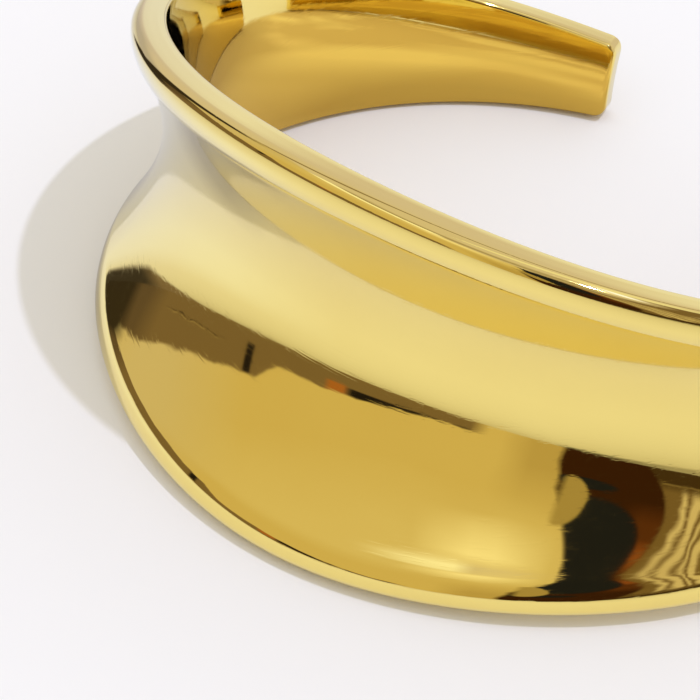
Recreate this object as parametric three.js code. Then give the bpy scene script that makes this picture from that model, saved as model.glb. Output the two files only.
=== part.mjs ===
// Cuff bracelet: one polished metal band, open at the back, hollowed round its outer face between two flared rims.
// Millimetres, +Z up. The cuff lies on its lower rim as it does on a table, with its wide front towards -Y and
// its opening towards +Y. The origin is on the table, under the middle of the outline seen from above.

import * as THREE from "three";

// Wrist opening, measured at the inner face of the waist
const INNER_WIDTH = 59;
const FRONT_DEPTH = 23.2;
const BACK_DEPTH = 24.5;
const END_GAP = 21.2;

// Band: its height at the front and at the ends, how soon it narrows, and how it eases in towards the ends
const FRONT_HEIGHT = 31.4;
const END_HEIGHT = 6.5;
const CREST_ANGLE = THREE.MathUtils.degToRad(25);
const TAPER_POWER = 1.23;
const WALL = 2;

// How far the rims stand out from the waist at the front
const FRONT_FLARE = 5.3;

// Rims: the hollow runs out into a wide rounding, and a small one leads over to the flat top
const RIM_UNDER_RADIUS = 3.5;
const RIM_TOP_RADIUS = 0.9;
const RIM_HEIGHT = 3;
const JOIN_ROUNDS = 6;

// Rounding of the edges against the wrist and of the two ends
const INNER_EDGE = 0.3;
const END_CORNER = 1;
const END_EDGE = 0.4;
const MOST_OF_WALL = 0.45;
const MOST_OF_HALF_HEIGHT = 0.25;

// Fineness of the mesh
const ARM_STEPS = 76;
const FACE_STEPS = 9;
const INNER_STEPS = 7;
const UNDER_STEPS = 4;
const TOP_STEPS = 5;
const EDGE_STEPS = 2;
const CORNER_STEPS = 5;

// Search for the lean at which the cuff rests, in radians
const STEEPEST_LEAN = THREE.MathUtils.degToRad(45);
const LEAN_PRECISION = 1e-7;

const ARM_ANGLE = Math.PI - Math.asin(END_GAP / INNER_WIDTH);
const HALF_WIDTH = INNER_WIDTH / 2;

// Waist line on the plan, two half ellipses: its point, its outward direction and its speed at an angle from the front
function waist(angle) {
  const depth = Math.cos(angle) > 0 ? FRONT_DEPTH : BACK_DEPTH;
  const across = Math.sin(angle);
  const along = -Math.cos(angle);
  const outward = new THREE.Vector2(across * depth, along * HALF_WIDTH);
  return {
    point: new THREE.Vector2(across * HALF_WIDTH, along * depth),
    speed: outward.length(),
    outward: outward.clone().normalize(),
  };
}

// Height of the band at an angle: a rounded crest, an even fall along the arms, and an easing in to the ends
function bandHeight(angle) {
  const fall = (a) => Math.hypot(1, a / CREST_ANGLE) - 1;
  const left = Math.max(1 - fall(Math.abs(angle)) / fall(ARM_ANGLE), 0);
  return THREE.MathUtils.lerp(END_HEIGHT, FRONT_HEIGHT, Math.pow(left, TAPER_POWER));
}

// How much a rounding of a given radius has taken off at a distance from the end
function roundedOff(radius, distance) {
  const into = Math.max(radius - distance, 0);
  return radius - Math.sqrt(Math.max(radius * radius - into * into, 0));
}

// Where the hollow turns into the rim: the height above the waist, and how far the surface leans out there.
// The hollow and the rounding have one tangent, which is found by a few rounds of correction.
function rimJoin(halfHeight, flare, under, top) {
  let height = halfHeight - top;
  let turn = 0;
  for (let i = 0; i < JOIN_ROUNDS; i++) {
    height = halfHeight - top - under * Math.sin(turn);
    turn = Math.atan((2 * flare) / height);
  }
  return { height, turn };
}

// Upper half of the band's section, from the outer waist over the rim to the inner waist: x outward, y up
function upperHalf(halfHeight, flare, inset) {
  const wall = WALL - 2 * inset;
  const room = Math.min((MOST_OF_HALF_HEIGHT * halfHeight) / RIM_HEIGHT, (MOST_OF_WALL * wall) / RIM_TOP_RADIUS);
  const under = RIM_UNDER_RADIUS * Math.min(room, 1);
  const top = RIM_TOP_RADIUS * Math.min(room, 1);
  const edge = Math.min(INNER_EDGE, (wall - top) / 2);
  const join = rimJoin(halfHeight, flare, under, top);
  const outermost = inset + wall + flare + under * (1 - Math.cos(join.turn));
  const hollow = (share) => flare * share * share;
  const points = [];
  for (let i = 0; i < FACE_STEPS; i++) {
    const share = i / FACE_STEPS;
    points.push(new THREE.Vector2(inset + wall + hollow(share), join.height * share));
  }
  const underRim = new THREE.EllipseCurve(outermost - under, halfHeight - top, under, under, -join.turn, 0);
  points.push(...underRim.getPoints(UNDER_STEPS).slice(0, -1));
  const topRim = new THREE.EllipseCurve(outermost - top, halfHeight - top, top, top, 0, Math.PI / 2);
  points.push(...topRim.getPoints(TOP_STEPS));
  const edgeCentre = new THREE.Vector2(inset + flare + edge, halfHeight - edge);
  const innerEdge = new THREE.EllipseCurve(edgeCentre.x, edgeCentre.y, edge, edge, Math.PI / 2, Math.PI);
  points.push(...innerEdge.getPoints(EDGE_STEPS));
  for (let i = INNER_STEPS - 1; i >= 0; i--) {
    const share = i / INNER_STEPS;
    points.push(new THREE.Vector2(inset + hollow(share), (halfHeight - edge) * share));
  }
  return points;
}

// Whole section at an angle, as one closed ring: the upper half, then its mirror image below the waist.
// The hollow has one curvature all the way round, so the flare follows the square of the band's height.
function section(angle) {
  const toEnd = (ARM_ANGLE - Math.abs(angle)) * waist(ARM_ANGLE).speed;
  const height = bandHeight(angle);
  const halfHeight = height / 2 - roundedOff(END_CORNER, toEnd);
  const flare = FRONT_FLARE * Math.pow(height / FRONT_HEIGHT, 2);
  const upper = upperHalf(halfHeight, flare, roundedOff(END_EDGE, toEnd));
  const lower = upper.slice(1, -1).reverse();
  return upper.concat(lower.map((p) => new THREE.Vector2(p.x, -p.y)));
}

// Angles of the sections: even along the arms, close together where the corners of the ends are rounded
function stations() {
  const cornerAngle = END_CORNER / waist(ARM_ANGLE).speed;
  const plain = ARM_ANGLE - cornerAngle;
  const angles = [];
  for (let i = 0; i <= ARM_STEPS; i++) {
    angles.push(THREE.MathUtils.lerp(-plain, plain, i / ARM_STEPS));
  }
  for (let i = 1; i <= CORNER_STEPS; i++) {
    const angle = plain + cornerAngle * Math.sin((Math.PI / 2) * (i / CORNER_STEPS));
    angles.push(angle);
    angles.unshift(-angle);
  }
  return angles;
}

// The sections set upright round the waist line, joined ring to ring and closed with a flat face at each end
function bandGeometry() {
  const angles = stations();
  const rings = angles.map((angle) => section(angle));
  const count = rings[0].length;
  const positions = [];
  rings.forEach((ring, i) => {
    const { point, outward } = waist(angles[i]);
    for (const p of ring) {
      positions.push(point.x + outward.x * p.x, point.y + outward.y * p.x, p.y);
    }
  });
  const indices = [];
  for (let i = 0; i + 1 < rings.length; i++) {
    for (let j = 0; j < count; j++) {
      const a = i * count + j;
      const b = i * count + ((j + 1) % count);
      indices.push(a, a + count, b);
      indices.push(b, a + count, b + count);
    }
  }
  const last = (rings.length - 1) * count;
  for (const [a, b, c] of THREE.ShapeUtils.triangulateShape(rings[0], [])) {
    indices.push(a, b, c);
  }
  for (const [a, b, c] of THREE.ShapeUtils.triangulateShape(rings[rings.length - 1], [])) {
    indices.push(last + a, last + c, last + b);
  }
  const geometry = new THREE.BufferGeometry();
  geometry.setAttribute("position", new THREE.Float32BufferAttribute(positions, 3));
  geometry.setIndex(indices);
  return geometry;
}

// Centre of mass of a closed mesh, from the tetrahedra between its faces and the origin
function centreOfMass(geometry) {
  const position = geometry.getAttribute("position");
  const index = geometry.getIndex();
  const corners = [new THREE.Vector3(), new THREE.Vector3(), new THREE.Vector3()];
  const centre = new THREE.Vector3();
  let volume = 0;
  for (let i = 0; i < index.count; i += corners.length) {
    corners.forEach((corner, k) => corner.fromBufferAttribute(position, index.getX(i + k)));
    const [a, b, c] = corners;
    const part = a.dot(b.clone().cross(c));
    volume += part;
    centre.addScaledVector(a.clone().add(b).add(c), part);
  }
  return centre.divideScalar(volume * (corners.length + 1));
}

// How much lower the back reaches than the front, once the cuff is leaned back by an angle
function backDrop(geometry, centre, lean) {
  const position = geometry.getAttribute("position");
  const turn = new THREE.Matrix4().makeRotationX(-lean);
  const middle = centre.clone().applyMatrix4(turn).y;
  const corner = new THREE.Vector3();
  let front = Infinity;
  let back = Infinity;
  for (let i = 0; i < position.count; i++) {
    corner.fromBufferAttribute(position, i).applyMatrix4(turn);
    if (corner.y < middle) {
      front = Math.min(front, corner.z);
    } else {
      back = Math.min(back, corner.z);
    }
  }
  return front - back;
}

// Lean at which the lower rim touches the table at the front and behind the centre of mass
function restingLean(geometry) {
  const centre = centreOfMass(geometry);
  let low = 0;
  let high = STEEPEST_LEAN;
  while (high - low > LEAN_PRECISION) {
    const lean = (low + high) / 2;
    if (backDrop(geometry, centre, lean) > 0) {
      high = lean;
    } else {
      low = lean;
    }
  }
  return (low + high) / 2;
}

const geometry = bandGeometry();
geometry.rotateX(-restingLean(geometry));
geometry.computeBoundingBox();
const middle = geometry.boundingBox.getCenter(new THREE.Vector3());
geometry.translate(-middle.x, -middle.y, -geometry.boundingBox.min.z);
geometry.computeVertexNormals();

const gold = new THREE.MeshStandardMaterial({ color: 0xdbb04c, metalness: 1, roughness: 0.08 });
const cuff = new THREE.Mesh(geometry, gold);
cuff.name = "cuff";

const bracelet = new THREE.Group();
bracelet.name = "cuff_bracelet";
bracelet.add(cuff);

export default bracelet;
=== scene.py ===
# %% [markdown]
# # A polished gold cuff
# The object is one piece of metal: a wide band, open at the back, whose outer face is hollowed like a
# saddle between two flared rims. A mirror finish hides nothing, so three things make the picture: a smooth
# surface that follows one rule all the way round, fine wear in the polish, and a room worth reflecting.
#
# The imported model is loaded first. Its box and its lean are the frame that everything below follows.

# %% Load the frame
import math
from types import SimpleNamespace

import bpy
import numpy as np
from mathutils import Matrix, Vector


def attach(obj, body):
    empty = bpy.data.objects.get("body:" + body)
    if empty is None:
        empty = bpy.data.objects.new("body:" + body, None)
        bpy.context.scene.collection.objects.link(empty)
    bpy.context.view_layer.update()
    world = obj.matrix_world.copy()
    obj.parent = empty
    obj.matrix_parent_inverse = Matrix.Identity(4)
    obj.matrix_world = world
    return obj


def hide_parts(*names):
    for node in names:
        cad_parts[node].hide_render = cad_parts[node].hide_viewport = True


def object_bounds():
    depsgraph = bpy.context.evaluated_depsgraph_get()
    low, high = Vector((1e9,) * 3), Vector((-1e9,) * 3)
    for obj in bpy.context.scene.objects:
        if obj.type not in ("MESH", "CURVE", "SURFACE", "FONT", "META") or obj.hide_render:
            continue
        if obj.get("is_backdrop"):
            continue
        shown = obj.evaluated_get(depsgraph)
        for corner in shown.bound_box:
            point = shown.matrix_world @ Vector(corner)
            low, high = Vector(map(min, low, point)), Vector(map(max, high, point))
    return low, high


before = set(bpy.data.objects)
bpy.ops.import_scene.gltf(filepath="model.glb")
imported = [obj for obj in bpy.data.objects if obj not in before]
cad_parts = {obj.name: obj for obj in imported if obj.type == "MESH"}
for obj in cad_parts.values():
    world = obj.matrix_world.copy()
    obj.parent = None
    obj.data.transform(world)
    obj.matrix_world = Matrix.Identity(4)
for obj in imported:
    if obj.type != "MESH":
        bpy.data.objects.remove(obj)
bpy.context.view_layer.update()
MM = 0.001

# %% [markdown]
# ## Arithmetic that reads like arithmetic
# A node tree does its sums with one small node each. The little class below lets Python's own signs place
# those nodes, so that a formula for the metal reads the way it would on paper. It says nothing about the
# cuff itself, and it serves the shape, the gold and the room alike.

# %% Sums written as nodes
class Sum:
    """A number that a node tree works out: + - * / and a few functions add the nodes that it needs."""

    def __init__(self, tree, socket):
        self.tree = tree
        self.socket = socket

    def math(self, operation, *others):
        node = self.tree.nodes.new("ShaderNodeMath")
        node.operation = operation
        for slot, value in zip(node.inputs, (self, *others)):
            if isinstance(value, Sum):
                self.tree.links.new(value.socket, slot)
            else:
                slot.default_value = value
        return Sum(self.tree, node.outputs[0])

    def constant(self, value):
        return self.math("MULTIPLY", 0.0) + value

    def __add__(self, other):
        return self.math("ADD", other)

    def __sub__(self, other):
        return self.math("SUBTRACT", other)

    def __rsub__(self, other):
        return self.math("MULTIPLY", -1.0) + other

    def __mul__(self, other):
        return self.math("MULTIPLY", other)

    def __truediv__(self, other):
        return self.math("DIVIDE", other)

    def __pow__(self, other):
        return self.math("POWER", other)

    def at_most(self, other):
        return self.math("MINIMUM", other)

    def at_least(self, other):
        return self.math("MAXIMUM", other)

    def sin(self):
        return self.math("SINE")

    def cos(self):
        return self.math("COSINE")

    def arcsin(self):
        return self.math("ARCSINE")

    def size(self):
        return self.math("ABSOLUTE")

    def sign(self):
        return self.math("SIGN")

    def root(self):
        return self.math("SQRT")

    def above(self, other):
        return self.math("GREATER_THAN", other)

    def leg(self, start, end):
        """How much of the stretch from start to end has been walked: 0 before it, 1 after it."""
        node = self.tree.nodes.new("ShaderNodeMapRange")
        self.tree.links.new(self.socket, node.inputs["Value"])
        node.inputs["From Min"].default_value = start
        node.inputs["From Max"].default_value = end
        return Sum(self.tree, node.outputs["Result"])


def between(share, at_none, at_all):
    """A value that goes from at_none to at_all as share goes from 0 to 1."""
    return (at_all - at_none) * share + at_none


def diagonal(a, b):
    return (a * a + b * b).root()


def band(value, low, high, soft):
    """1 where value lies between low and high, with edges that fade over soft on either side."""
    return value.leg(low - soft, low + soft) * value.leg(high + soft, high - soft)


def axes_of(tree, vector):
    """The x, y and z of a vector, as three sums."""
    split = tree.nodes.new("ShaderNodeSeparateXYZ")
    tree.links.new(vector, split.inputs[0])
    return [Sum(tree, split.outputs[axis]) for axis in "XYZ"]


print("Sums are ready")

# %% [markdown]
# ## The sizes of the cuff
# A cuff is made to a wrist: the opening is measured at the waist of the band, where the metal is closest
# to the skin. The band is widest at its front crest and narrows evenly along both arms. The rims stand out
# from the waist by the flare. These are the same sizes that the solid part has, now in metres.

# %% Sizes
CUFF_SIZES = {
    "Inner width": 59 * MM,
    "Front depth": 23.2 * MM,
    "Back depth": 24.5 * MM,
    "Gap between ends": 21.2 * MM,
    "Front height": 31.4 * MM,
    "End height": 6.5 * MM,
    "Crest angle": math.radians(25),
    "Taper power": 1.23,
    "Wall": 2 * MM,
    "Front flare": 5.3 * MM,
    "Rim under radius": 3.5 * MM,
    "Rim top radius": 0.9 * MM,
    "Rim height": 3 * MM,
    "Inner edge": 0.3 * MM,
    "End corner": 1 * MM,
    "End edge": 0.4 * MM,
    "Most of wall": 0.45,
    "Most of half height": 0.25,
}

# Quads along each half of the band: its arm, the rounded corner of its end, and the flat of the end
ARM_QUADS = 190
CORNER_QUADS = 10
END_QUADS = 1
ALONG = ARM_QUADS + CORNER_QUADS + END_QUADS

# Quads round each half of the section: face, under the rim, over the rim, land, inner edge and inner face
FACE_QUADS = 36
UNDER_QUADS = 12
TOP_QUADS = 10
LAND_QUADS = 3
EDGE_QUADS = 4
INNER_QUADS = 24
AROUND = FACE_QUADS + UNDER_QUADS + TOP_QUADS + LAND_QUADS + EDGE_QUADS + INNER_QUADS
print("quads:", 4 * ALONG * AROUND)

# %% [markdown]
# ## One sheet, walked into shape
# The whole surface is one grid. Across the grid, a point walks round the section of the band: out along
# the hollow face, up the wide rounding that the hollow runs out into, over the small rounding of the rim,
# across its flat top, round the inner edge and back down the inner face. Each leg adds its own travel, so
# the section closes by itself, and the other half of the grid walks the mirror image. Along the grid, the
# section follows the waist line, two half ellipses, while its height and flare fade from the crest to the
# ends. The last quads at each end draw together to the middle of the flat end, which closes the metal.

# %% A tree with named sizes
QUARTER_TURN = math.pi / 2


def new_tree(name, sizes):
    """A geometry tree with one named input for each size, and its inputs by name."""
    tree = bpy.data.node_groups.new(name, "GeometryNodeTree")
    tree.interface.new_socket("Geometry", in_out="OUTPUT", socket_type="NodeSocketGeometry")
    for label, value in sizes.items():
        socket = tree.interface.new_socket(label, in_out="INPUT", socket_type="NodeSocketFloat")
        socket.default_value = value
    entry = tree.nodes.new("NodeGroupInput")
    return tree, {label: Sum(tree, entry.outputs[label]) for label in sizes}


print("sizes that the tree takes:", len(CUFF_SIZES))

# %% [markdown]
# ## Where a section stands
# Seen from above, the waist of the cuff is an oval. Two half ellipses make it, with one depth in front and
# another behind, so that it can be fitted to what the photograph shows. A section stands upright on this
# line and looks outward. The last sections before each end stand close together, for its rounded corners.

# %% Where a section stands
def place_on_arm(size, along):
    """The angle at which an arm ends, the angle of a section from the front, and its distance to the end."""
    arm = math.pi - (size["Gap between ends"] / size["Inner width"]).arcsin()
    end_speed = diagonal(arm.sin() * size["Back depth"], arm.cos() * (size["Inner width"] / 2))
    corner_angle = size["End corner"] / end_speed
    share = along.size()
    on_arm = share.leg(0.0, ARM_QUADS / ALONG)
    on_corner = share.leg(ARM_QUADS / ALONG, 1 - END_QUADS / ALONG)
    from_front = (arm - corner_angle) * on_arm + corner_angle * (on_corner * QUARTER_TURN).sin()
    return arm, from_front, (arm - from_front) * end_speed


def waist_line(size, angle):
    """The point of the waist line at an angle, and the outward direction there, each as x and y."""
    half_width = size["Inner width"] / 2
    depth = between(angle.cos().above(0.0), size["Back depth"], size["Front depth"])
    speed = diagonal(angle.sin() * depth, angle.cos() * half_width)
    point = (angle.sin() * half_width, angle.cos() * depth * -1.0)
    outward = (angle.sin() * depth / speed, angle.cos() * half_width / speed * -1.0)
    return point, outward


print("sections along the band:", 2 * ALONG + 1)

# %% [markdown]
# ## How big a section is
# The band is highest at its crest and fades evenly to its ends. One saddle has one curvature, so the flare
# goes with the square of the height and needs no list of its own. The rim is rounded twice: wide under it,
# where the hollow runs out, and small on top. Hollow and rounding share one tangent, or the mirror would
# show a crease, and a few rounds of correction find the place where they meet.

# %% How big a section is
JOIN_ROUNDS = 6


def rounded_off(radius, distance):
    """How much a rounding of a given radius has taken off at a distance from the end."""
    into = (radius - distance).at_least(0.0)
    return radius - (radius * radius - into * into).at_least(0.0).root()


def section_sizes(size, arm, from_front, to_end):
    """Height, flare, wall and roundings of a section, all of which fade towards the ends."""
    def fall(a):
        return diagonal(a / size["Crest angle"], a.constant(1.0)) - 1.0

    left = (1.0 - fall(from_front) / fall(arm)).at_least(0.0)
    height = between(left ** size["Taper power"], size["End height"], size["Front height"])
    fullness = height / size["Front height"]
    part = SimpleNamespace()
    part.half_height = height / 2 - rounded_off(size["End corner"], to_end)
    part.flare = size["Front flare"] * fullness * fullness
    part.inset = rounded_off(size["End edge"], to_end)
    part.wall = size["Wall"] - part.inset * 2.0
    room = (size["Most of half height"] * part.half_height / size["Rim height"]).at_most(1.0)
    room = room.at_most(size["Most of wall"] * part.wall / size["Rim top radius"])
    part.under = size["Rim under radius"] * room
    part.top = size["Rim top radius"] * room
    part.edge = size["Inner edge"].at_most((part.wall - part.top) / 2)
    part.turn = part.flare.constant(0.0)
    for _ in range(JOIN_ROUNDS):
        part.join_height = part.half_height - part.top - part.under * part.turn.sin()
        part.turn = (part.flare * 2.0 / part.join_height).math("ARCTANGENT")
    return part


print("rounds of correction:", JOIN_ROUNDS)

# %% [markdown]
# ## The walk round a section
# A point starts on the waist of the outer face and walks over the rim to the waist of the inner face. Each
# stretch of its way adds what it travels outward and upward, by a sine or cosine where the way is round.

# %% The walk round a section
STRETCHES = [FACE_QUADS, UNDER_QUADS, TOP_QUADS, LAND_QUADS, EDGE_QUADS, INNER_QUADS]
STRETCH_ENDS = np.cumsum([0, *STRETCHES]) / AROUND


def walk_round(part, walked):
    """How far outward and upward a point lies, once it has walked a share of its way."""
    on_face, on_under, on_top, on_land, on_edge, on_back = (
        walked.leg(a, b) for a, b in zip(STRETCH_ENDS[:-1], STRETCH_ENDS[1:])
    )
    under, top, edge = part.under, part.top, part.edge
    still_turned = part.turn * (1.0 - on_under)
    top_turn = on_top * QUARTER_TURN
    edge_turn = on_edge * QUARTER_TURN
    to_waist = 1.0 - on_back
    outward = part.inset + part.wall + part.flare * on_face * on_face
    outward = outward + under * (still_turned.cos() - part.turn.cos()) - top * (1.0 - top_turn.cos())
    outward = outward - (part.wall + under * (1.0 - part.turn.cos()) - top - edge) * on_land
    outward = outward - edge * edge_turn.sin() - part.flare * (1.0 - to_waist * to_waist)
    upward = part.join_height * on_face + under * (part.turn.sin() - still_turned.sin())
    upward = upward + top * top_turn.sin() - edge * (1.0 - edge_turn.cos())
    upward = upward - (part.half_height - edge) * on_back
    return outward, upward


print("the stretches end at", np.round(STRETCH_ENDS[1:], 3))

# %% [markdown]
# ## The grid becomes the band
# Now the tree is put together: the grid gives the places, the sums above move its points, and the points
# that meet at the seams are merged. A mark is stored on the rims, for the wear that the finish shows there.

# %% The band's tree
MERGE_DISTANCE = 0.001 * MM
RIM_MARK_FADE = 0.012


def band_tree(material):
    tree, size = new_tree("Cuff band", CUFF_SIZES)
    nodes, links = tree.nodes, tree.links

    # The grid reaches from -1 to 1 both ways: along the band, and round its section
    grid = nodes.new("GeometryNodeMeshGrid")
    grid.inputs["Size X"].default_value = 2.0
    grid.inputs["Size Y"].default_value = 2.0
    grid.inputs["Vertices X"].default_value = 2 * ALONG + 1
    grid.inputs["Vertices Y"].default_value = 2 * AROUND + 1
    along, around, _ = axes_of(tree, nodes.new("GeometryNodeInputPosition").outputs[0])

    # Each point walks round its section, and the last quads draw together on the flat end
    arm, from_front, to_end = place_on_arm(size, along)
    waist, facing = waist_line(size, from_front * along.sign())
    part = section_sizes(size, arm, from_front, to_end)
    walked = around.size()
    outward, upward = walk_round(part, walked)
    on_end = along.size().leg(1 - END_QUADS / ALONG, 1.0)
    outward = between(on_end, outward, part.inset + part.wall / 2)
    upward = upward * around.sign() * (1.0 - on_end)

    position = nodes.new("ShaderNodeCombineXYZ")
    links.new((waist[0] + facing[0] * outward).socket, position.inputs["X"])
    links.new((waist[1] + facing[1] * outward).socket, position.inputs["Y"])
    links.new(upward.socket, position.inputs["Z"])
    shape = nodes.new("GeometryNodeSetPosition")
    links.new(grid.outputs["Mesh"], shape.inputs["Geometry"])
    links.new(position.outputs[0], shape.inputs["Position"])

    # The mark is 1 on the rims and fades away over the faces
    mark = nodes.new("GeometryNodeStoreNamedAttribute")
    mark.inputs["Name"].default_value = "rim"
    face_end, rim_start, rim_end = STRETCH_ENDS[1], STRETCH_ENDS[2], STRETCH_ENDS[5]
    on_rim = walked.leg(face_end, rim_start) * walked.leg(rim_end + RIM_MARK_FADE, rim_end)
    links.new(on_rim.socket, mark.inputs["Value"])

    merge = nodes.new("GeometryNodeMergeByDistance")
    merge.inputs["Distance"].default_value = MERGE_DISTANCE
    smooth = nodes.new("GeometryNodeSetShadeSmooth")
    realize = nodes.new("GeometryNodeRealizeInstances")
    finish = nodes.new("GeometryNodeSetMaterial")
    finish.inputs["Material"].default_value = material
    leave = nodes.new("NodeGroupOutput")
    chain = [shape, mark, merge, smooth, realize, finish, leave]
    for before, after in zip(chain[:-1], chain[1:]):
        links.new(before.outputs[0], after.inputs[0])
    return tree


def as_mesh(tree, name, sizes):
    """Runs a geometry tree with the given sizes and keeps its result as a plain mesh object."""
    maker = bpy.data.objects.new("maker", bpy.data.meshes.new("empty"))
    bpy.context.scene.collection.objects.link(maker)
    modifier = maker.modifiers.new("Band", "NODES")
    modifier.node_group = tree
    for socket in tree.interface.items_tree:
        if socket.in_out == "INPUT":
            modifier[socket.identifier] = sizes[socket.name]
    evaluated = maker.evaluated_get(bpy.context.evaluated_depsgraph_get())
    mesh = bpy.data.meshes.new_from_object(evaluated)
    bpy.data.objects.remove(maker)
    finish = mesh.materials[-1]
    mesh.materials.clear()
    mesh.materials.append(finish)
    mesh.name = name
    piece = bpy.data.objects.new(name, mesh)
    bpy.context.scene.collection.objects.link(piece)
    return piece


# %% [markdown]
# ## Colour in coats
# Gold, room and table are all coloured in the same way: a ground colour first, and then coat after coat
# over it. A mask between 0 and 1 says where each coat lies. Noise makes the masks uneven, and its seed is
# fixed, so that every run paints the same picture.

# %% Coats and noise
class Coat:
    """A colour that a node tree works out: each new coat is painted over what is there."""

    def __init__(self, tree, colour):
        ground = tree.nodes.new("ShaderNodeRGB")
        ground.outputs[0].default_value = (*colour, 1)
        self.tree = tree
        self.socket = ground.outputs[0]

    def paint(self, mask, colour, blend="MIX"):
        mix = self.tree.nodes.new("ShaderNodeMix")
        mix.data_type = "RGBA"
        mix.blend_type = blend
        self.tree.links.new(mask.socket, mix.inputs["Factor"])
        self.tree.links.new(self.socket, mix.inputs["A"])
        mix.inputs["B"].default_value = (*colour, 1)
        self.socket = mix.outputs["Result"]


def noise(tree, vector, scale, detail=2.0, seed=None):
    node = tree.nodes.new("ShaderNodeTexNoise")
    node.inputs["Scale"].default_value = scale
    node.inputs["Detail"].default_value = detail
    if seed is not None:
        node.noise_dimensions = "4D"
        node.inputs["W"].default_value = seed
    tree.links.new(vector, node.inputs["Vector"])
    return Sum(tree, node.outputs["Fac"])


print("Coats are ready")

# %% [markdown]
# ## Marks in the polish
# Buffing leaves hairlines that run the long way of the band, and a cloth leaves longer strokes. Both are
# thin noise in coordinates that go round the cuff: its heading, its distance from the middle and its height.
# Smudges of fingers and a slow unevenness of the metal have no direction, so plain noise makes them.

# %% Marks in the polish
ROUND_RADIUS = 28 * MM

# Cycles per metre, along the band and across it
HAIRLINES = (90, 5200)
STROKES = (35, 1500)
SMUDGES = 130.0
UNEVENNESS = 75.0


def polish_marks(tree, place):
    """Hairlines, strokes, smudges and unevenness, each as a noise between 0 and 1."""
    x, y, z = axes_of(tree, place)
    along = x.math("ARCTAN2", y * -1.0) * ROUND_RADIUS
    away = diagonal(x, y)

    def stretched(long, short):
        """Round-the-cuff coordinates for marks that are long and thin."""
        vector = tree.nodes.new("ShaderNodeCombineXYZ")
        tree.links.new((along * long).socket, vector.inputs[0])
        tree.links.new((away * short).socket, vector.inputs[1])
        tree.links.new((z * short).socket, vector.inputs[2])
        return vector.outputs[0]

    hairlines = noise(tree, stretched(*HAIRLINES), 1.0, detail=2.0, seed=1.0)
    strokes = noise(tree, stretched(*STROKES), 1.0, detail=1.0, seed=2.0)
    smudges = noise(tree, place, SMUDGES, detail=3.0, seed=3.0)
    unevenness = noise(tree, place, UNEVENNESS, detail=1.0, seed=4.0)
    return hairlines, strokes, smudges, unevenness


def bump(tree, height, depth, before=None):
    node = tree.nodes.new("ShaderNodeBump")
    node.inputs["Distance"].default_value = depth
    tree.links.new(height.socket, node.inputs["Height"])
    if before is not None:
        tree.links.new(before, node.inputs["Normal"])
    return node.outputs["Normal"]


print("hairlines per mm across the band:", HAIRLINES[1] * MM)

# %% [markdown]
# ## Gold that has been handled
# A metal has no colour under its gloss: the colour of gold is the colour of its reflection. The rims are
# touched most. Their plating has worn a little paler and pinker than the deep yellow of the hollow. Seen at
# a flat angle, every metal pales. Sharp reflections show a fresh polish, so smudges and hairlines are only a
# little rougher than the rest.

# %% Gold
DEEP_GOLD = (0.905, 0.735, 0.235)
WORN_GOLD = (0.885, 0.660, 0.350)
GRAZED_GOLD = (0.95, 0.91, 0.72)
SMUDGED = (0.97, 0.95, 0.92)
EDGE_TINT = (0.84, 0.84, 0.86)
GRAZED_SHARE = 0.9
GRAZED_POWER = 3.0
SMUDGED_SHARE = 0.5
FRESH_ROUGHNESS = 0.028
SMUDGE_ROUGHNESS = 0.045
SCRATCH_ROUGHNESS = 0.07
WORN_ROUGHNESS = 0.02
HAIRLINE_DEPTH = 0.0008 * MM
STROKE_SHARE = 0.5
UNEVEN_DEPTH = 0.006 * MM


def gold_finish():
    material = bpy.data.materials.new("polished_gold")
    material.use_nodes = True
    tree = material.node_tree
    shader = tree.nodes["Principled BSDF"]
    shader.inputs["Metallic"].default_value = 1.0
    shader.inputs["Specular Tint"].default_value = (*EDGE_TINT, 1)
    place = tree.nodes.new("ShaderNodeTexCoord").outputs["Object"]
    hairlines, strokes, smudges, unevenness = polish_marks(tree, place)
    scratch = hairlines.leg(0.56, 0.74)

    # Wear: the mark on the rims, broken up where the metal was touched less
    mark = tree.nodes.new("ShaderNodeAttribute")
    mark.attribute_name = "rim"
    worn = Sum(tree, mark.outputs["Fac"]) * smudges.leg(0.30, 0.50)
    facing = tree.nodes.new("ShaderNodeLayerWeight").outputs["Facing"]
    coat = Coat(tree, DEEP_GOLD)
    coat.paint(worn, WORN_GOLD)
    coat.paint(smudges.leg(0.35, 0.75) * SMUDGED_SHARE, SMUDGED, "MULTIPLY")
    coat.paint(Sum(tree, facing) ** GRAZED_POWER * GRAZED_SHARE, GRAZED_GOLD)
    tree.links.new(coat.socket, shader.inputs["Base Color"])

    roughness = smudges.leg(0.40, 0.80) * SMUDGE_ROUGHNESS + scratch * SCRATCH_ROUGHNESS
    roughness = roughness + worn * WORN_ROUGHNESS + FRESH_ROUGHNESS
    tree.links.new(roughness.socket, shader.inputs["Roughness"])
    normal = bump(tree, unevenness, UNEVEN_DEPTH)
    normal = bump(tree, strokes * STROKE_SHARE + scratch, HAIRLINE_DEPTH, normal)
    tree.links.new(normal, shader.inputs["Normal"])
    return material


gold = gold_finish()
cuff = as_mesh(band_tree(gold), "gold_cuff", CUFF_SIZES)
print("band:", len(cuff.data.vertices), "points")

# %% [markdown]
# ## Lay it on the table
# The band was made about its own axis. On the table it leans back, because its arms are narrower than its
# front. The solid part already lies at rest. Its points mirror each other about the band's middle plane, so
# the way they spread in side view gives the lean, and its box gives the place.

# %% Place the band
def side_spread_lean(points):
    spread = np.cov(points[:, 1], points[:, 2])
    return 0.5 * math.atan2(2 * spread[0, 1], spread[0, 0] - spread[1, 1])


def points_of(mesh):
    points = np.empty(3 * len(mesh.vertices))
    mesh.vertices.foreach_get("co", points)
    return points.reshape(-1, 3)


def set_points(mesh, points):
    mesh.vertices.foreach_set("co", points.ravel())
    mesh.update()


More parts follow.
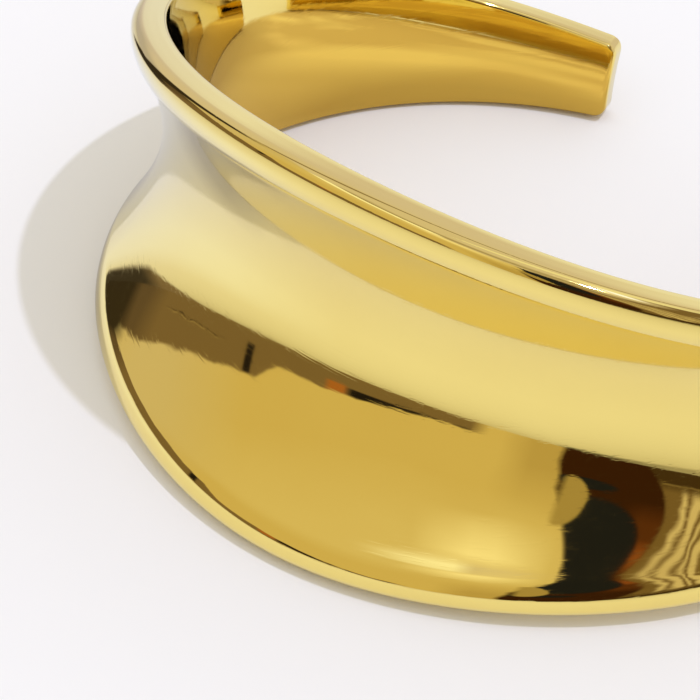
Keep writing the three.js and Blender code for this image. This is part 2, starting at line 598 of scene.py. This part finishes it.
lean = side_spread_lean(points_of(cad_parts["cuff"].data))
points = points_of(cuff.data)
y, z = points[:, 1].copy(), points[:, 2].copy()
points[:, 1] = y * math.cos(lean) - z * math.sin(lean)
points[:, 2] = y * math.sin(lean) + z * math.cos(lean)
low, high = points.min(0), points.max(0)
points -= [(low[0] + high[0]) / 2, (low[1] + high[1]) / 2, low[2]]
set_points(cuff.data, points)
print("lean in degrees:", round(math.degrees(lean), 2))
print("band in mm:", np.round((high - low) / MM, 2))

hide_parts("cuff")
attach(cuff, "root")

# %% [markdown]
# ## What a mirror needs: a room
# Polished metal shows its surroundings more than itself. The room here is painted on the sky round the
# cuff, in patches that are given by their heading (0 is straight ahead of the front, positive to the right)
# and their height above the horizon, both in degrees. A later patch covers an earlier one. In the cells
# below, a patch is written as where it starts, where it ends and how softly its edges fade.

# %% Directions in the room
world = bpy.data.worlds.new("studio")
bpy.context.scene.world = world
world.use_nodes = True
room = world.node_tree
room.nodes.clear()

DEGREE = math.pi / 180
direction = room.nodes.new("ShaderNodeTexCoord").outputs["Generated"]
to_right, to_back, to_top = axes_of(room, direction)
heading = to_right.math("ARCTAN2", to_back * -1.0) / DEGREE
height = to_top.arcsin() / DEGREE


def wobble(scale, reach, seed):
    """A smooth random offset in degrees, for edges in a room that are never quite straight."""
    return (noise(room, direction, scale, seed=seed) - 0.5) * (2 * reach)


def patch(headings, heights):
    """1 inside a stretch of headings and of heights, each given by its start, its end and its softness."""
    return band(heading, *headings) * band(height, *heights)


def oval(middle, reach, value_a=heading, value_b=height):
    """Distance from the middle of an oval, as a share of its reach: 1 is its edge."""
    return diagonal((value_a - middle[0]) / reach[0], (value_b - middle[1]) / reach[1])


print("directions are ready in", world.name)

# %% [markdown]
# ## Ceiling and back
# Most of the room is a pale grey. High in front it is dim, with a bright panel just over the wall. A small,
# very bright panel on the right puts a white spark on the metal. The back is white on the right, and a dark
# gap arches over its left.

# %% Paint the ceiling and the back
PALE = (0.73, 0.665, 0.72)
PALE_SHADE = (0.56, 0.52, 0.58)
WHITE_WALL = (0.95, 0.94, 0.92)
WHITE_PANEL = (0.95, 0.95, 0.97)
BRIGHT = (1.15, 1.17, 1.25)
HOT = (1.25, 1.40, 2.60)
DIM = (0.42, 0.35, 0.27)
DARK = (0.21, 0.145, 0.085)
GAP = (0.26, 0.19, 0.09)
GAP_HEADING = -125
GAP_TOP = 57
GAP_FALL = 0.0105

sky = Coat(room, PALE)
sky.paint(patch((-62, 92, 10), (58, 70, 5)), DIM)
sky.paint(patch((-62, 9, 3), (50, 61, 1.5)), BRIGHT)
sky.paint(patch((85, 168, 6), (42, 57, 3)), DARK)
sky.paint(patch((122, 158, 6), (60, 65, 1.5)), HOT)
sky.paint(band(heading, 154, 181, 5) * height.leg(38, 48), WHITE_WALL)

from_gap = heading - GAP_HEADING
gap_height = from_gap * from_gap * -GAP_FALL + GAP_TOP
sky.paint(band(height - gap_height, -3.5, 3.5, 2.5) * band(heading, -179, -76, 4), GAP)
sky.paint(patch((-173, -139, 4), (-20, 15, 5)), WHITE_PANEL)
sky.paint(band(heading, -130, -94, 6) * height.leg(9, 2), PALE_SHADE)
print("the gap tops out at", GAP_TOP, "degrees")

# %% [markdown]
# ## The wall in front
# The front of the cuff faces a warm wall, and the deep gold of its lower half is this wall's image. It is
# greyer on the left and lighter high up. Towards the right its foot lies in shade, and its top glows.

# %% Paint the wall
WARM = (0.69, 0.55, 0.285)
WARM_GREY = (0.68, 0.58, 0.44)
WARM_LIGHT = (0.75, 0.63, 0.39)
LOW_SHADE = (0.54, 0.41, 0.19)
GLOW = (1.06, 0.99, 0.84)
WALL_TOP = 52

wall_top = wobble(scale=2.0, reach=1.5, seed=1.0) + WALL_TOP
on_wall = (wall_top - height).leg(-2, 2)
uneven = wobble(scale=3.0, reach=6.0, seed=5.0)
wavy_heading = heading + uneven * 0.4
wavy_height = height + uneven * 0.4
sky.paint(on_wall * band(heading, -88, 40, 4), WARM)
sky.paint(on_wall * band(heading, -88, -58, 10), WARM_GREY)
sky.paint(on_wall * band(heading, -62, 40, 10) * (height + uneven).leg(26, 46), WARM_LIGHT)
sky.paint(on_wall * band(wavy_heading, 15, 36, 4) * height.leg(34, 10), LOW_SHADE)
sky.paint(on_wall * band(wavy_heading, 2, 25, 8) * wavy_height.leg(35, 50), GLOW)
print("the wall ends at", WALL_TOP, "degrees")

# %% [markdown]
# ## The strip at the foot of the wall
# A dark strip runs along the foot of the wall. It is tall on the left, steps down, and sinks behind the
# table towards the right, where it turns black. Its upper edge is jagged. Ripples, a small orange patch and
# a black bar give the eye something to find in the gold, and a black edge closes it on the far left.

# %% Paint the strip
DEEP_BROWN = (0.13, 0.09, 0.06)
RIPPLE_DARK = (0.045, 0.03, 0.015)
RIPPLE_LIGHT = (0.36, 0.27, 0.15)
ORANGE = (0.42, 0.15, 0.04)
BLACK = (0.016, 0.012, 0.012)
SOFT_BLACK = (0.04, 0.03, 0.02)
STRIP_TOP = 12.5
STEP_DOWN = 6.5
SINKING = 5.0
LEFT_DROP = 4.0
RIPPLE_START = -75
RIPPLE_FOOT = 1.6
RIPPLE_RISE = 0.12
BLACK_SLOPE = 0.05
EDGE_LEAN = 0.17

strip_top = wobble(scale=9.0, reach=2.2, seed=2.0) + STRIP_TOP
strip_top = strip_top - heading.leg(-46, -41) * STEP_DOWN
strip_top = strip_top - heading.leg(-30, 0) * SINKING - heading.leg(-79, -86) * LEFT_DROP
strip = (strip_top - height).leg(-0.5, 0.5) * band(heading, -92, 6, 2)
sky.paint(strip, DARK)
sky.paint(strip * heading.leg(-76, -82), DEEP_BROWN)

ripple_line = (heading - RIPPLE_START) * RIPPLE_RISE + RIPPLE_FOOT
ripple_line = ripple_line + wobble(scale=16.0, reach=1.5, seed=6.0)
in_ripple = band(heading, -74, -57, 2)
sky.paint(in_ripple * band(height - ripple_line, -0.15, 0.15, 0.2), RIPPLE_DARK)
sky.paint(in_ripple * band(height - ripple_line, 0.55, 0.8, 0.2), RIPPLE_LIGHT)

sky.paint(strip * band(heading, -28.5, -24.0, 0.8) * height.leg(1.0, 1.6), ORANGE)
sky.paint(strip * band(heading, -23.5, 4, 1.0) * (height + heading * BLACK_SLOPE).leg(0.3, 0.8), BLACK)
sky.paint(patch((-49.4, -47.4, 0.3), (1.2, 12.0, 0.4)), BLACK)
sky.paint(band(heading - height * EDGE_LEAN, -99, -86.5, 1.5) * band(height, -30, 40, 5), SOFT_BLACK)
print("the strip ends at", STRIP_TOP, "degrees, and further on at", STRIP_TOP - STEP_DOWN)

# %% [markdown]
# ## The dark stand
# The brightest gold needs its blackest neighbour. A dark stand to the right of the front is cold black,
# red-brown round its edges and rusty on its right. Beside it, wavering bright streaks hang on a brown
# ground, and a tan bulge of the wall reaches into its left side.

# %% Paint the stand
BROWN = (0.19, 0.125, 0.06)
FOOT_BROWN = (0.060, 0.035, 0.015)
STREAK = (0.68, 0.57, 0.43)
THIN_LINE = (0.30, 0.22, 0.12)
RED_BLACK = (0.040, 0.014, 0.005)
COLD_BLACK = (0.014, 0.015, 0.023)
RUST = (0.10, 0.032, 0.010)
RUST_LIGHT = (0.27, 0.080, 0.025)
TAN = (0.42, 0.32, 0.145)
STREAK_SLANT = 0.10
STREAKS = ((63, 1.0), (67.5, 1.7), (72, 0.8), (77, 2.0), (84, 1.6), (90, 1.0))
STAND_LEFT = 25.5
STAND_RIGHT = 57.5
STAND_TOP = 50
WIDEST_HEIGHT = 26
NARROWING = 0.012

beside = heading.leg(43, 44) * heading.leg(100, 90) * height.leg(58, 50)
sky.paint(beside, BROWN)
swirling = heading + wobble(scale=2.6, reach=9.0, seed=4.0) + height * STREAK_SLANT
for streak_at, half_width in STREAKS:
    streak = band(swirling, streak_at - half_width, streak_at + half_width, 0.8)
    sky.paint(streak * band(height, 7, 49, 3), STREAK)
sky.paint(beside * height.leg(8, 3), FOOT_BROWN)
sky.paint(beside * band(height - wobble(scale=6.0, reach=2.0, seed=7.0), 3.4, 3.8, 0.4), THIN_LINE)

ragged = wobble(scale=3.0, reach=2.0, seed=3.0)
stand_left = height.leg(4, 12) * 1.5 + height.leg(18, 32) * 5 + height.leg(32, 46) * 4 + STAND_LEFT
from_widest = height - WIDEST_HEIGHT
stand_right = from_widest * from_widest * -NARROWING + STAND_RIGHT
stand = (heading + ragged * 0.3 - stand_left).leg(-0.8, 0.8) * (heading - stand_right).leg(0.6, -0.6)
stand = stand * height.leg(STAND_TOP + 1, STAND_TOP - 1)
sky.paint(stand, RED_BLACK)
sky.paint(stand * oval((34, 12), (8, 2.6)).leg(1.1, 0.9), COLD_BLACK)
belly = oval((38, 36), (15, 18))
sky.paint(stand * belly.leg(1.05, 0.95), COLD_BLACK)
round_belly = stand * belly.leg(1.0, 1.06)
sky.paint(round_belly * patch((48, 60, 3), (20, 46, 5)), RUST)
sky.paint(round_belly * patch((50, 60, 2), (34, 42, 3)), RUST_LIGHT)
bulge = oval((30, 22), (5.6, 12), heading + ragged * 0.8, height + ragged).leg(1.06, 0.94)
sky.paint(bulge * heading.leg(27.5, 29.5), TAN)
print("patches in the room:", sum(node.bl_idname == "ShaderNodeMix" for node in room.nodes))

# %% [markdown]
# ## Two lights in one sky
# The metal mirrors the painted room. The table is lit by a plain dome of its own, and the camera sees the
# same plain dome, so nothing of the room shows but its image in the gold.

# %% Let the light in
DOME = (0.845, 0.83, 0.79)

mirrored = room.nodes.new("ShaderNodeBackground")
room.links.new(sky.socket, mirrored.inputs["Color"])
dome = room.nodes.new("ShaderNodeBackground")
dome.inputs["Color"].default_value = (*DOME, 1)
choose = room.nodes.new("ShaderNodeMixShader")
room.links.new(room.nodes.new("ShaderNodeLightPath").outputs["Is Glossy Ray"], choose.inputs["Fac"])
room.links.new(dome.outputs[0], choose.inputs[1])
room.links.new(mirrored.outputs[0], choose.inputs[2])
room.links.new(choose.outputs[0], room.nodes.new("ShaderNodeOutputWorld").inputs["Surface"])
bpy.context.scene.view_settings.view_transform = "Standard"
print("the metal mirrors the room, and everything else sees the dome")

# %% [markdown]
# ## A board that the metal mirrors
# The cuff lies on a round white board. Its edge ends the white that the metal mirrors, and the white fades
# towards it, as it does where the light of a window falls off. Inside the cuff, gold light warms it. Places
# on the board are given by their distance from the middle in mm and by their heading in degrees.

# %% Shades of the board
BOARD_RADIUS = 178 * MM
BOARD_FAR = (0.60, 0.56, 0.49)
BOARD_SHADE = (0.70, 0.68, 0.70)
BOARD_INSIDE = (0.74, 0.57, 0.31)
BOARD_INSIDE_LIGHT = (0.95, 0.80, 0.47)
BOARD_INSIDE_SHADE = (0.60, 0.47, 0.26)
BOARD_BROWN = (0.20, 0.14, 0.09)
BOARD_BLACK = (0.03, 0.022, 0.015)
PATCHES = 60.0
NEAR_CUT = 82
CUT_HEADING = -76
CUT_SLOPE = 6.0
DARK_HEADING = 30
DARK_SLOPE = 1.2
INSIDE_MIDDLE = (0, 2)
INSIDE_REACH = (31, 27)


def board_shades(x, y, from_middle, toward, patchy):
    """The shades of the board in the order in which they are painted: where each lies, and its colour."""
    # On the left the board is cut off close to the cuff, and on the right its far end is dark
    cut = (toward - CUT_HEADING).at_least(0.0) * CUT_SLOPE + NEAR_CUT
    beyond_cut = (from_middle - cut).leg(-7, 7) * band(toward, -97, -40, 2)
    dark_end = (from_middle + (toward - DARK_HEADING) * DARK_SLOPE).leg(146, 160) * band(toward, 28, 90, 2)
    inside = oval(INSIDE_MIDDLE, INSIDE_REACH, x, y).leg(1.04, 0.96)
    return [
        (from_middle.leg(50, BOARD_RADIUS / MM), BOARD_FAR),
        (beyond_cut, BOARD_BROWN),
        (beyond_cut * toward.leg(-74, -79), BOARD_BLACK),
        (dark_end, BOARD_BLACK),
        (from_middle.leg(45, 110) * band(toward, 40, 90, 14) * 0.6, BOARD_FAR),
        (from_middle.leg(38, 35) * band(toward, -100, -52, 8), BOARD_SHADE),
        (inside, BOARD_INSIDE),
        (inside * patchy.leg(0.48, 0.62), BOARD_INSIDE_LIGHT),
        (inside * (y - x * 0.8).leg(26, 34), BOARD_INSIDE_SHADE),
    ]


print("board across in mm:", round(2 * BOARD_RADIUS / MM))

# %% [markdown]
# ## Table and sweep
# The shades are for the mirror alone. Seen directly, the board and the sweep below it are one plain white
# that carries on to the edges of the picture, so one material serves both: it asks whether the camera looks
# at it. A cool glint on the left lights only the metal's image.

# %% Table
BOARD_WHITE = (0.93, 0.92, 0.925)
BOARD_CORNERS = 128
BOARD_ROUGHNESS = 0.9
BOARD_GLOSS = 0.1
GLINT = (0.25, 0.45, 1.0)
GLINT_STRENGTH = 0.22
SWEEP_SIZE = 6.0
SWEEP_DROP = 0.1 * MM


def white_board():
    material = bpy.data.materials.new("white_board")
    material.use_nodes = True
    tree = material.node_tree
    shader = tree.nodes["Principled BSDF"]
    shader.inputs["Roughness"].default_value = BOARD_ROUGHNESS
    shader.inputs["Specular IOR Level"].default_value = BOARD_GLOSS

    place = tree.nodes.new("ShaderNodeTexCoord").outputs["Object"]
    x, y = (axis / MM for axis in axes_of(tree, place)[:2])
    from_middle = diagonal(x, y)
    toward = x.math("ARCTAN2", y * -1.0) / DEGREE
    mirrored = 1.0 - Sum(tree, tree.nodes.new("ShaderNodeLightPath").outputs["Is Camera Ray"])
    coat = Coat(tree, BOARD_WHITE)
    for mask, shade in board_shades(x, y, from_middle, toward, noise(tree, place, PATCHES)):
        coat.paint(mask * mirrored, shade)
    tree.links.new(coat.socket, shader.inputs["Base Color"])

    glint = band(toward, -100, -34, 14) * band(from_middle, 40, 66, 8) * mirrored * GLINT_STRENGTH
    shader.inputs["Emission Color"].default_value = (*GLINT, 1)
    tree.links.new(glint.socket, shader.inputs["Emission Strength"])
    return material


white = white_board()
bpy.ops.mesh.primitive_circle_add(vertices=BOARD_CORNERS, radius=BOARD_RADIUS, fill_type="NGON")
board = bpy.context.object
board.name = "board"
bpy.ops.mesh.primitive_plane_add(size=SWEEP_SIZE, location=(0, 0, -SWEEP_DROP))
sweep = bpy.context.object
sweep.name = "sweep"
sweep.visible_glossy = False
sweep.visible_diffuse = False
for surface in (board, sweep):
    surface.data.materials.append(white)
    surface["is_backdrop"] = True
print("under the cuff:", board.name, "and", sweep.name)

# %% [markdown]
# ## The key light
# One small lamp high on the right throws the pale shadow to the left. Lamp and camera are both placed by a
# direction, given by its heading and its height, so one small function serves both.

# %% Lamp
LAMP_HEADING = math.radians(106)
LAMP_HEIGHT = math.radians(67)
LAMP_ENERGY = 1.0
LAMP_COLOUR = (0.72, 0.76, 1.0)
LAMP_ANGLE = math.radians(1.4)


def outward(azimuth, elevation):
    """The direction away from the cuff at a heading and a height."""
    across = math.cos(elevation)
    return Vector((math.sin(azimuth) * across, -math.cos(azimuth) * across, math.sin(elevation)))


lamp_data = bpy.data.lights.new("lamp", "SUN")
lamp_data.energy = LAMP_ENERGY
lamp_data.color = LAMP_COLOUR
lamp_data.angle = LAMP_ANGLE
lamp = bpy.data.objects.new("lamp", lamp_data)
bpy.context.scene.collection.objects.link(lamp)
lamp.rotation_mode = "QUATERNION"
lamp.rotation_quaternion = outward(LAMP_HEADING, LAMP_HEIGHT).to_track_quat("Z", "Y")
print("the lamp shines from", round(math.degrees(LAMP_HEIGHT)), "degrees up")

# %% [markdown]
# ## Camera
# The photograph looks down on the cuff from the right of its front, through a long lens. It shows the left
# half of the cuff and cuts off the rest, so two slides move the camera across its own line of sight.

# %% Camera
AZIMUTH = math.radians(39.31)
ELEVATION = math.radians(41.35)
DISTANCE = 350 * MM
AIM_HEIGHT = 15 * MM
SLIDE_RIGHT = -11.84 * MM
SLIDE_UP = -11.45 * MM
SENSOR = 36.0
FOCAL_PIXELS = 4749.6
PICTURE_PIXELS = 700

away = outward(AZIMUTH, ELEVATION)
right = Vector((math.cos(AZIMUTH), math.sin(AZIMUTH), 0))
up = away.cross(right)
camera_data = bpy.data.cameras.new("camera")
camera_data.sensor_width = SENSOR
camera_data.lens = FOCAL_PIXELS / PICTURE_PIXELS * SENSOR
camera = bpy.data.objects.new("camera", camera_data)
bpy.context.scene.collection.objects.link(camera)
camera.location = Vector((0, 0, AIM_HEIGHT)) + away * DISTANCE + right * SLIDE_RIGHT + up * SLIDE_UP
camera.rotation_mode = "QUATERNION"
camera.rotation_quaternion = (-away).to_track_quat("-Z", "Y")
bpy.context.scene.camera = camera
print("lens in mm:", round(camera_data.lens, 1))

# %% [markdown]
# ## The box at the end
# The box of everything that renders, apart from the table and sweep, is measured last.

# %% Sizes and finish
low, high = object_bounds()
